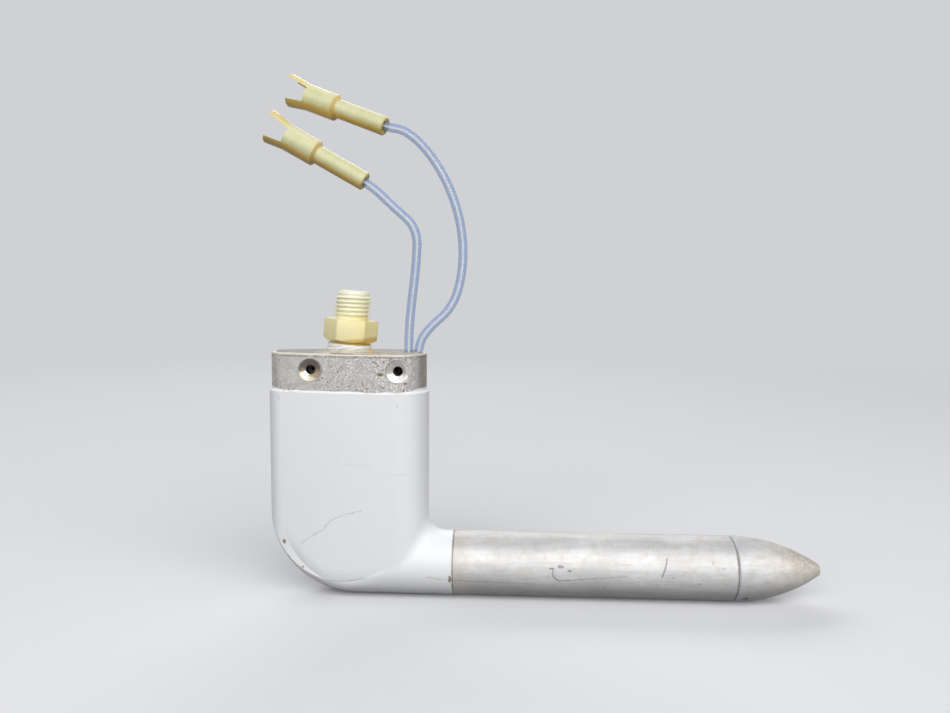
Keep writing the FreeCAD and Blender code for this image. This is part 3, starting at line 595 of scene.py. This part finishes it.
def sealing_tape():
    """White tape in turns that ruck round the stub, stretched fine and a little soiled, with painted shade in
    the folds between turns.
    """
    finish = Finish("white_tape", {"Specular IOR Level": 0.4, "Subsurface Weight": 0.1,
                                   "Subsurface Radius": (1.0, 0.9, 0.8), "Subsurface Scale": 0.8 * MM})
    sway = finish.noise(3.0, 2.0, 0.5, shift=11.0)
    along = finish.z - finish.x * math.tan(fitting_tilt) + (sway - 0.5) * 1.2
    turns = (along * (2 * math.pi / tape_turn)).sine() * 0.5 + 0.5
    lines = finish.noise(0.35, 3.0, 0.6, (7.0, 7.0, 0.7), shift=2.0)
    crease = finish.noise(1.2, 3.0, 0.6, (1, 1, 0.7), shift=9.0, distortion=0.8)
    soil = finish.noise(1.3, 4.0, 0.6, shift=6.0)
    colour = finish.coats(
        finish.mix(lines.above(0.5, 0.25), seen(242, 241, 237), seen(251, 250, 247)),
        (soil.above(0.58, 0.07) * 0.5, seen(224, 208, 168)),
        # Painted shade in the folds between the turns.
        (turns.below(0.12, 0.1) * 0.3, seen(206, 202, 194)),
    )
    finish.relief(turns, 0.14)
    finish.relief(crease, 0.16)
    finish.relief(lines, 0.07)
    return finish.feed(base_color=colour, roughness=0.5 + lines * 0.1)


class Nylon(Finish):
    """Yellowed translucent nylon, cloudy and faintly streaked."""

    def __init__(self, name, scatter, scatter_share):
        super().__init__(name, {
            "Specular IOR Level": 0.5,
            "Subsurface Weight": scatter_share,
            "Subsurface Scale": scatter * MM,
            "Subsurface Radius": (1.0, 0.8, 0.3),
        })
        self.cloud = self.noise(3.0, 3.0, 0.5, shift=1.0)
        self.flow = self.noise(0.6, 3.0, 0.6, (4.0, 4.0, 1.0), shift=4.0)

    def moulded(self, colour, deep, roughness):
        """The finished material, with deeper colour where the flow lines show."""
        self.relief(self.cloud, 0.08)
        self.relief(self.flow, 0.02)
        colour = self.mix(self.flow.above(0.62, 0.08) * 0.2, colour, deep)
        return self.feed(base_color=colour, roughness=roughness + self.cloud * 0.12)


def fitting_nylon():
    """Natural nylon of the pressure fitting: paler on the thread, with painted light in the thread's grooves,
    painted shade in deeper yellow on its right side and in amber at the neck.
    """
    finish = Nylon("natural_nylon", 2.5, 0.2)
    lean = math.tan(fitting_tilt)
    low = finish.z - finish.x * lean
    high = (finish.z + (finish.cloud - 0.5) * 4.0).above(13.5, 4.5)
    # Painted shade: a deeper yellow on the right side, which is turned away from the light.
    right = (finish.x + (finish.cloud - 0.5) * 2.0).above(4.5, 2.5)
    # Painted light: the thread's grooves are coloured paler to offset their shade.
    lit_groove = hypotenuse(finish.x - finish.z * lean, finish.y).below(5.15, 0.35) * low.above(10.9, 0.3)
    scratch = finish.noise(0.3, 3.0, 0.6, (1, 1, 8.0), shift=3.0).above(0.64, 0.04)
    colour = finish.coats(
        finish.mix(high, seen(240, 230, 178), seen(244, 241, 216)),
        (right * 0.6, seen(244, 226, 156)),
        (lit_groove, seen(255, 252, 222)),
        # Painted shade: amber at the neck under the hexagon.
        (low.below(4.0, 0.5) * 0.85, seen(212, 172, 70)),
        (scratch * finish.x.above(5.8, 0.8) * 0.45, seen(186, 160, 86)),
    )
    return finish.moulded(colour, seen(228, 212, 150), 0.38)


def terminal_nylon(name, exit_point, points):
    """Nylon of a terminal's sleeve: greenish yellow, with painted shade in amber along its lower side, a
    painted highlight along its top, painted light inside its mouth, and amber on its tongues.
    """
    finish = Nylon(name, 2.0, 0.08)
    end = (exit_point + Vector(points[-1])) / MM
    ahead = (Vector(points[-1]) - Vector(points[-2])).normalized()
    up = Y_AXIS.cross(ahead)
    along = finish.vector("DOT_PRODUCT", finish.place, tuple(ahead), output="Value") - end.dot(ahead)
    height = finish.vector("DOT_PRODUCT", finish.place, tuple(up), output="Value") - end.dot(up)
    offset = finish.vector("DISTANCE", finish.place, tuple(end), output="Value")
    bell = along.above(13.9, 0.4)
    # Painted shade: amber along the sleeve's lower side.
    shaded_lower_side = (height + bell * 0.7 + (finish.cloud - 0.5) * 0.8).below(-1.4, 0.8)
    ends = along.below(-3.0, 0.4).most(along.above(12.9, 0.3) * along.below(14.4, 0.3))
    inside = (offset * offset - along * along).root().below(1.9, 0.15)
    colour = finish.coats(
        finish.mix(finish.cloud.above(0.5, 0.25), seen(202, 202, 154), seen(212, 211, 168)),
        (shaded_lower_side * 0.9, seen(226, 182, 74)),
        # Painted highlight: a paler band along the top of the sleeve.
        (height.above(2.3, 0.5) * 0.4, seen(238, 232, 196)),
        (along.above(24.2, 1.5) * 0.6, seen(228, 202, 118)),
        (ends * 0.55, seen(226, 190, 98)),
        # Painted light: the inside of the sleeve's mouth is coloured bright amber in place of its shade.
        (inside, seen(250, 222, 132)),
        (finish.cells(4.0, shift=3.0).below(0.05, 0.02) * 0.8, seen(120, 112, 82)),
    )
    return finish.moulded(colour, seen(214, 194, 128), 0.3)


def lead_jacket():
    """Clear bluish jacket, milky, over the lead's strands."""
    finish = Finish("lead_sleeve", {"Specular IOR Level": 0.6})
    milk = finish.noise(1.4, 3.0, 0.5)
    finish.relief(milk, 0.015)
    colour = finish.mix(milk.above(0.5, 0.3), seen(104, 144, 206), seen(134, 170, 220))
    return finish.feed(base_color=colour, roughness=0.2 + milk * 0.1, alpha=0.36 + milk * 0.1)


def plated_strand():
    """Plated strands of the leads, cream, with a faint glow painted on them that stands for the light the
    milky jacket scatters onto them.
    """
    finish = Finish("lead_strand", {"Specular IOR Level": 0.5})
    shade = finish.noise(0.8, 2.0, 0.5)
    cream = finish.mix(shade, seen(250, 236, 206), seen(255, 248, 232))
    # A painted glow: the strands give off a little light of their own.
    return finish.feed(base_color=cream, metallic=0.3, roughness=0.4 + shade * 0.1, emission_color=cream,
                       emission_strength=0.25)


def plain_metal(name, dark, light, roughness):
    """A drawn or plated metal with faint streaks and tarnish."""
    finish = Finish(name)
    streak = finish.noise(0.5, 3.0, 0.6, (8.0, 1, 1), shift=2.0)
    tarnish = finish.noise(3.0, 4.0, 0.6, shift=5.0)
    finish.relief(streak, 0.01)
    colour = finish.mix(streak * 0.5 + tarnish * 0.5, dark, light)
    return finish.feed(base_color=colour, metallic=0.95, roughness=roughness + (tarnish - 0.5) * 0.2)


def dull_filler(name, dark, light, grain):
    """An unglazed ceramic, mica or glass filler with a visible grain."""
    finish = Finish(name, {"Specular IOR Level": 0.3})
    body = finish.noise(grain, 4.0, 0.6, shift=2.0)
    pores = finish.cells(grain * 1.5, shift=3.0).below(0.15, 0.06)
    finish.relief(body + (1 - pores) * 0.5, 0.04)
    colour = finish.coats(finish.mix(body.above(0.5, 0.3), dark, light), (pores * 0.5, dark))
    return finish.feed(base_color=colour, roughness=0.7 + body * 0.15)


def dress(material, *names):
    """Give the named solid pieces a finish."""
    for name in names:
        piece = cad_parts[name]
        piece.data.materials.clear()
        piece.data.materials.append(material)


def piece_from(name, mesh, material):
    """A finished piece of the object from a bmesh already in place, riding on the one body."""
    data = bpy.data.meshes.new(name)
    bmesh.ops.recalc_face_normals(mesh, faces=mesh.faces)
    mesh.to_mesh(data)
    mesh.free()
    for face in data.polygons:
        face.use_smooth = True
    data.materials.append(material)
    piece = bpy.data.objects.new(name, data)
    bpy.context.scene.collection.objects.link(piece)
    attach(piece, "root")
    return piece


def stacked_rings(rings, segments):
    """A closed shell from rings of points; each ring tells a point's radius and height at an angle."""
    mesh = bmesh.new()
    ring = bmesh.ops.create_circle(mesh, segments=segments, radius=1.0)["verts"]
    loops = [ring]
    edges = list(mesh.edges)
    for _ in rings[1:]:
        grown = bmesh.ops.extrude_edge_only(mesh, edges=edges)["geom"]
        edges = [part for part in grown if isinstance(part, bmesh.types.BMEdge) and
                 all(vert in grown for vert in part.verts)]
        loops.append([part for part in grown if isinstance(part, bmesh.types.BMVert)])
    for place, loop in zip(rings, loops):
        for vert in loop:
            angle = math.atan2(vert.co.y, vert.co.x)
            radius, height = place(angle)
            vert.co = Vector((radius * math.cos(angle), radius * math.sin(angle), height))
    return mesh


def round_ring(radius, height):
    """A ring of one radius at one height, in millimetres, for stacked_rings."""
    return lambda angle: (radius * MM, height * MM)


def hexagon_ring(inset, corner_inset, height, chamfered=False):
    """The hexagon's outline set in a little; on a chamfer its corners stand up at 30 degrees."""
    flat = hex_flat - inset
    corner = hex_corner - corner_inset
    slope = math.tan(math.radians(30)) if chamfered else 0.0

    def place(angle):
        turn = (angle - hex_turn) % math.radians(60) - math.radians(30)
        radius = min(flat / math.cos(turn), corner)
        return radius * MM, (height + slope * (radius - flat)) * MM
    return place


def thread_turns():
    """The fitting's cut thread: one profile swept up its helix, faced off below and pointed above."""
    mesh = bmesh.new()
    steps = 60
    turns = 9
    profile = (                                         # radius, and height out of 1.3 for a whole turn
        (thread_root, 0.0),
        (thread_root, 0.16),
        (thread_crest, 0.56),
        (thread_crest, 0.74),
        (thread_root, 1.14),
    )
    chain = []
    start = thread_low - 1.5 * thread_pitch
    for turn in range(turns):
        for radius, rise in profile:
            height = start + turn * thread_pitch + rise / 1.3 * thread_pitch
            chain.append(mesh.verts.new((radius * MM, 0, height * MM)))
    links = [mesh.edges.new(pair) for pair in zip(chain, chain[1:])]
    bmesh.ops.spin(mesh, geom=chain + links, cent=(0, 0, 0), axis=Z_AXIS, angle=2 * math.pi, steps=steps,
                   dvec=Z_AXIS * thread_pitch * MM / steps, use_merge=False, use_duplicate=False)
    bmesh.ops.remove_doubles(mesh, verts=mesh.verts, dist=0.002 * MM)
    top = fitting_top - 0.02
    for vert in mesh.verts:
        radius = math.hypot(vert.co.x, vert.co.y)
        height = min(max(vert.co.z / MM, thread_low), top)
        taper = (top - height) / thread_point * (thread_crest - thread_point_radius)
        limit = min(thread_crest, thread_point_radius + taper)
        run_out = thread_root if vert.co.z / MM <= thread_low else thread_crest
        scale = min(radius, limit * MM, run_out * MM) / radius
        vert.co = Vector((vert.co.x * scale, vert.co.y * scale, height * MM))
    bmesh.ops.remove_doubles(mesh, verts=mesh.verts, dist=0.002 * MM)
    bmesh.ops.dissolve_degenerate(mesh, edges=mesh.edges, dist=0.002 * MM)
    return mesh


def fitting_body():
    """The fitting below and inside its thread: stub, neck, hexagon, relief, core and line socket."""
    rings = [
        round_ring(2.65, stub_bottom),
        round_ring(5.85, stub_bottom),
        round_ring(6.35, stub_bottom + 1.0),
        round_ring(6.35, 2.7),
        round_ring(6.2, 2.78),
        round_ring(6.25, hex_base - 0.07),
        round_ring(hex_flat - 0.3, hex_base),
        round_ring(hex_flat - 0.05, hex_base + 0.02),
        hexagon_ring(0.04, 0.1, hex_base + 0.06, chamfered=True),
        hexagon_ring(0.0, 0.0, hex_base + 0.2, chamfered=True),
        hexagon_ring(0.0, 0.0, hex_top - 0.16),
        hexagon_ring(0.05, 0.09, hex_top - 0.04),
        hexagon_ring(0.16, 0.24, hex_top),
        round_ring(5.2, hex_top),
        round_ring(thread_root + 0.05, 10.3),
        round_ring(thread_root + 0.05, 10.9),
        round_ring(thread_root - 0.1, 11.0),
        round_ring(thread_root - 0.1, fitting_top - 1.4),
        round_ring(4.38, fitting_top - 0.1),
        round_ring(4.3, fitting_top),
        round_ring(4.0, fitting_top),
        round_ring(line_bore + 0.05, fitting_top - 0.55),
        round_ring(line_bore, fitting_top - 0.7),
        round_ring(line_bore, line_floor),
        round_ring(2.1, line_floor),
        round_ring(2.1, -4.0),
        round_ring(2.65, -4.0),
        round_ring(2.65, stub_bottom),
    ]
    mesh = stacked_rings(rings, 96)
    bmesh.ops.remove_doubles(mesh, verts=mesh.verts, dist=0.002 * MM)
    return mesh


def soften(piece, degrees):
    """Shade the piece smooth except across edges sharper than the angle."""
    mesh = bmesh.new()
    mesh.from_mesh(piece.data)
    for edge in mesh.edges:
        edge.smooth = len(edge.link_faces) == 2 and edge.calc_face_angle(0) < math.radians(degrees)
    for face in mesh.faces:
        face.smooth = True
    mesh.to_mesh(piece.data)
    mesh.free()


def pressure_fitting(material):
    """The nylon fitting with its thread cut, leaning a little in the mast."""
    mesh = fitting_body()
    thread = thread_turns()
    data = bpy.data.meshes.new("thread")
    thread.to_mesh(data)
    thread.free()
    mesh.from_mesh(data)
    bpy.data.meshes.remove(data)
    bmesh.ops.rotate(mesh, verts=mesh.verts, cent=(0, 0, 0), matrix=Matrix.Rotation(fitting_tilt, 3, "Y"))
    piece = piece_from("nylon_fitting", mesh, material)
    soften(piece, 32)
    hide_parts("fitting")


def route_curve(name, exit_point, points):
    """A lead's curve through its route, without thickness."""
    curve = bpy.data.curves.new(name, "CURVE")
    curve.dimensions = "3D"
    curve.resolution_u = 24
    spline = curve.splines.new("NURBS")
    spline.points.add(len(points) - 1)
    for place, point in zip(spline.points, points):
        place.co = (*(exit_point + Vector(point)), 1)
    spline.order_u = 3
    spline.use_endpoint_u = True
    piece = bpy.data.objects.new(name, curve)
    bpy.context.scene.collection.objects.link(piece)
    return piece


def route_frames(lead):
    """Points along a lead's own line, each with its distance along it and two directions across."""
    line = bpy.data.meshes.new_from_object(lead)
    points = [vert.co.copy() for vert in line.vertices]
    bpy.data.meshes.remove(line)
    frames = []
    across = Y_AXIS
    run = 0.0
    for index, point in enumerate(points):
        ahead = points[min(index + 1, len(points) - 1)] - points[max(index - 1, 0)]
        ahead.normalize()
        across = (across - ahead * across.dot(ahead)).normalized()
        if index:
            run += (point - points[index - 1]).length
        frames.append((point, run, across, ahead.cross(across)))
    return frames


def strands(name, lead, material):
    """The twisted strands inside a lead."""
    curve = bpy.data.curves.new(name, "CURVE")
    curve.dimensions = "3D"
    curve.bevel_depth = strand_radius
    curve.bevel_resolution = 1
    frames = route_frames(lead)
    for strand in range(strand_count):
        spline = curve.splines.new("POLY")
        spline.points.add(len(frames) - 1)
        for place, (point, run, across, up) in zip(spline.points, frames):
            angle = 2 * math.pi * (run / strand_lay + strand / strand_count)
            offset = (across * math.cos(angle) + up * math.sin(angle)) * strand_ring
            place.co = (*(point + offset), 1)
    holder = bpy.data.objects.new(name + "_line", curve)
    bpy.context.scene.collection.objects.link(holder)
    bpy.context.view_layer.update()
    mesh = bmesh.new()
    data = bpy.data.meshes.new_from_object(holder)
    mesh.from_mesh(data)
    bpy.data.objects.remove(holder)
    bpy.data.meshes.remove(data)
    return piece_from(name, mesh, material)


def lead(name, exit_point, points, length, jacket, wire, pieces):
    """One heater lead: its clear jacket as a cord and its strands; the pieces on its end are not used."""
    piece = route_curve(name + "_jacket", exit_point, points)
    inside = strands(name + "_strands", piece, wire)
    piece.data.bevel_depth = lead_radius
    piece.data.bevel_resolution = 6
    piece.data.use_fill_caps = True
    piece.data.materials.append(jacket)
    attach(piece, "root")
    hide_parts(name)


def studio_floor():
    """A round pale floor; its far part takes the backdrop's own colour, so no horizon shows."""
    mesh = bmesh.new()
    bmesh.ops.create_circle(mesh, cap_ends=True, segments=96, radius=3.0)
    bmesh.ops.translate(mesh, verts=mesh.verts, vec=(0, 0, solid_box[0].z))
    data = bpy.data.meshes.new("studio_floor")
    mesh.to_mesh(data)
    mesh.free()
    finish = Finish("studio_floor", {"Specular IOR Level": 0.2})
    colour = finish.mix(finish.noise(60.0), floor_pale, floor_pale_too)
    material = finish.feed(base_color=colour, roughness=0.8)
    near = Reading(finish, finish.shader.outputs[0])
    far = finish.node("ShaderNodeEmission", {}, {"Color": backdrop, "Strength": 1.0})
    shown = finish.blend(hypotenuse(finish.x, finish.y).above(600.0, 420.0), near, far)
    bounce = finish.node("ShaderNodeBsdfDiffuse", {}, {"Color": floor_bounce})
    surface = finish.blend(finish.shows_backdrop(), bounce, shown)
    finish.tree.links.new(surface.output, finish.tree.nodes["Material Output"].inputs["Surface"])
    data.materials.append(material)
    floor = bpy.data.objects.new("studio_floor", data)
    bpy.context.scene.collection.objects.link(floor)


def soft_lamp(name, place, target, wide, tall, watts):
    """A soft lamp, wide and tall, that faces a point."""
    lamp = bpy.data.lights.new(name, "AREA")
    lamp.shape = "RECTANGLE"
    lamp.size = wide
    lamp.size_y = tall
    lamp.energy = watts
    holder = bpy.data.objects.new(name, lamp)
    facing = (Vector(target) - Vector(place)).to_track_quat("-Z", "Y").to_matrix().to_4x4()
    holder.matrix_world = Matrix.Translation(place) @ facing
    bpy.context.scene.collection.objects.link(holder)


def studio_light():
    """One wide soft light from above and in front, a weak one behind, and an even pale surround."""
    middle = (0.05, 0.0, -0.03)
    soft_lamp("key_lamp", (0.22, -0.90, 0.62), middle, 3.0, 1.2, 28.0)
    soft_lamp("back_lamp", (-0.2, 0.9, 0.7), middle, 1.6, 0.5, 6.5)
    world = bpy.data.worlds.new("pale_surround")
    bpy.context.scene.world = world
    world.use_nodes = True
    wiring = Wiring(world.node_tree)
    light = wiring.node("ShaderNodeBackground", {}, {"Color": (0.96, 0.98, 1.0, 1.0), "Strength": 0.07})
    shown = wiring.node("ShaderNodeBackground", {}, {"Color": backdrop, "Strength": 1.0})
    surface = wiring.blend(wiring.shows_backdrop(), light, shown)
    wiring.tree.links.new(surface.output, wiring.tree.nodes["World Output"].inputs["Surface"])


def camera():
    """The viewing angle: level with the collar and a little to the right of the mast."""
    data = bpy.data.cameras.new("camera")
    data.sensor_width = 36.0
    data.lens = 28.04
    data.clip_start = 0.01
    data.clip_end = 10.0
    holder = bpy.data.objects.new("camera", data)
    turn = (Matrix.Rotation(0.040932, 4, "Z") @ Matrix.Rotation(math.pi / 2 - 0.090528, 4, "X")
            @ Matrix.Rotation(0.0081828, 4, "Z"))
    holder.matrix_world = Matrix.Translation((0.048485, -0.227502, 0.019679)) @ turn
    bpy.context.scene.collection.objects.link(holder)
    bpy.context.scene.camera = holder


dress(mast_finish(), "mast")
dress(probe_metal("probe_tube_metal"), "probe_tube")
dress(probe_metal("nose_metal", nose=True), "nose")
dress(seam_compound(), "nose_seal")
dress(cream_sealant(), "potting")
dress(sealing_tape(), "thread_seal")
dress(terminal_nylon("terminal_nylon_inner", inner_exit, inner_lead_points), "terminal_inner")
dress(terminal_nylon("terminal_nylon_outer", outer_exit, outer_lead_points), "terminal_outer")
dress(plain_metal("tinned_metal", seen(168, 168, 164), seen(206, 206, 202), 0.35),
      "splice_inner", "splice_outer", "receptacle_inner", "receptacle_outer")
dress(plain_metal("plain_brass", seen(168, 132, 70), seen(206, 172, 102), 0.32),
      "front_baffle", "rear_baffle", "pressure_pipe")
dress(plain_metal("element_wire", seen(104, 100, 98), seen(150, 146, 142), 0.4), "heater_element")
dress(dull_filler("heater_ceramic", seen(204, 196, 178), seen(232, 226, 212), 0.5),
      "heater_former", "rear_plug")
dress(dull_filler("insulating_wrap", seen(158, 138, 100), seen(196, 178, 138), 1.2), "heater_wrap")
dress(dull_filler("glass_sleeving", seen(206, 200, 184), seen(236, 232, 220), 0.4),
      "tail_inner", "tail_outer")
pressure_fitting(fitting_nylon())
jacket = lead_jacket()
wire = plated_strand()
lead("lead_inner", inner_exit, inner_lead_points, 0.067, jacket, wire, ["terminal_inner", "receptacle_inner"])
lead("lead_outer", outer_exit, outer_lead_points, 0.092, jacket, wire, ["terminal_outer", "receptacle_outer"])
studio_floor()
studio_light()
camera()
bpy.context.scene.view_settings.view_transform = "Standard"
